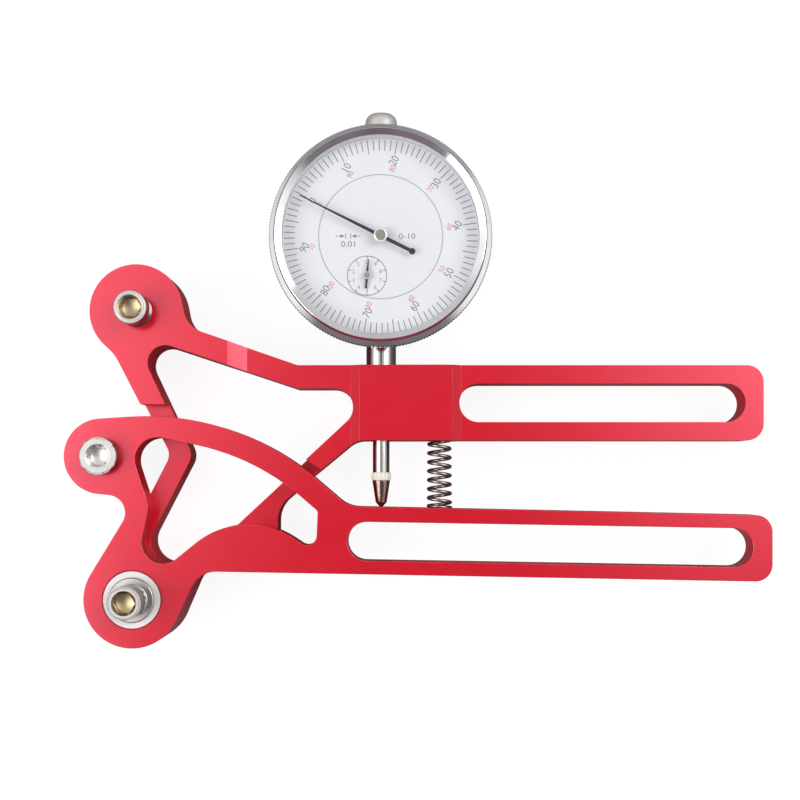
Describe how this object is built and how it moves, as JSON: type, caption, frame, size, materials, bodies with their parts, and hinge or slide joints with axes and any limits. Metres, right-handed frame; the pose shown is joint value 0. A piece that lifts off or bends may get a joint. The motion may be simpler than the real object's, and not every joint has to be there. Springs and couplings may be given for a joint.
{
  "type": "spoke tension meter",
  "caption": "Hand tool with two crossed slotted frames on a pivot, three spoke posts, a spring between the handles and a round dial gauge that reads their closing.",
  "frame": {"origin": "on the pivot axis, at the flat back of the upper frame's pivot boss", "axes": "+X to the handle ends, +Y from the lower handle to the dial, +Z out of the dial's face along the posts"},
  "size_m": [0.1885, 0.1437, 0.0352],
  "materials": {
    "red_anodised": "matte red anodised",
    "post_steel": "polished",
    "pale_nylon": "matt off-white",
    "bronze": "turned",
    "spring_steel": "dark polished wire",
    "black_steel": "blackened",
    "case_steel": "satin",
    "contact_steel": "dark tempered",
    "arbor_steel": "turned",
    "bezel_chrome": "polished, knurled belt",
    "crystal_glass": "clear",
    "dial_enamel": "matt enamel",
    "pointer_black": "satin black",
    "hub_champagne": "turned champagne"
  },
  "bodies": {
    "frame": {"upper_frame": "red_anodised", "pivot_post": "post_steel", "pivot_disc": "pale_nylon", "thrust_washer": "pale_nylon", "top_post": "post_steel", "main_spring": "spring_steel", "stem_clamp_screw": "black_steel", "gauge_case": "case_steel", "back_cover": "case_steel", "gauge_stem": "post_steel", "stem_cap": "post_steel", "guide_rail": "case_steel", "inner_dial": "dial_enamel", "movement_bridge": "bronze", "bridge_pillars": "bronze", "movement_cock": "bronze", "cock_pillars": "bronze"},
    "lower_handle": {"lower_frame": "red_anodised", "pivot_bush": "bronze", "middle_post": "post_steel"},
    "spindle": {"spindle": "post_steel", "contact_collar": "pale_nylon", "contact_point": "contact_steel", "guide_pin": "arbor_steel"},
    "counter": {"counter_arbor": "arbor_steel", "counter_wheel": "bronze", "small_pointer": "pointer_black"},
    "centre": {"centre_arbor": "arbor_steel", "main_pointer": "pointer_black", "pointer_hub": "hub_champagne"},
    "bezel": {"bezel": "bezel_chrome", "crystal": "crystal_glass", "scale_ring": "dial_enamel"}
  },
  "joints": [
    {"name": "squeeze", "type": "hinge", "parent": "frame", "child": "lower_handle", "pos_m": [0, 0, 0.0175], "axis": [0, 0, 1], "range_deg": [0, 5.5], "stiffness_Nm_per_rad": 35, "springref_deg": -1.72, "deforming": ["main_spring"]},
    {"name": "spindle_lift", "type": "slide", "parent": "frame", "child": "spindle", "axis": [0, 1, 0], "range_m": [0, 0.0066]},
    {"name": "counter_turn", "type": "hinge", "parent": "frame", "child": "counter", "pos_m": [0.06261, 0.08586, 0.0155], "axis": [0, 0, 1], "range_deg": [0, 240]},
    {"name": "needle_turn", "type": "hinge", "parent": "frame", "child": "centre", "pos_m": [0.0662, 0.0962, 0.0265], "axis": [0, 0, 1], "range_deg": [-2400, 0]},
    {"name": "bezel_turn", "type": "hinge", "parent": "frame", "child": "bezel", "pos_m": [0.0662, 0.0962, 0.026], "axis": [0, 0, 1], "continuous": true}
  ],
  "couplings": [
    {"joint": "spindle_lift", "follows": "squeeze", "m_per_rad": 0.0672},
    {"joint": "counter_turn", "follows": "squeeze", "ratio": 42.223},
    {"joint": "needle_turn", "follows": "squeeze", "ratio": -422.23}
  ]
}
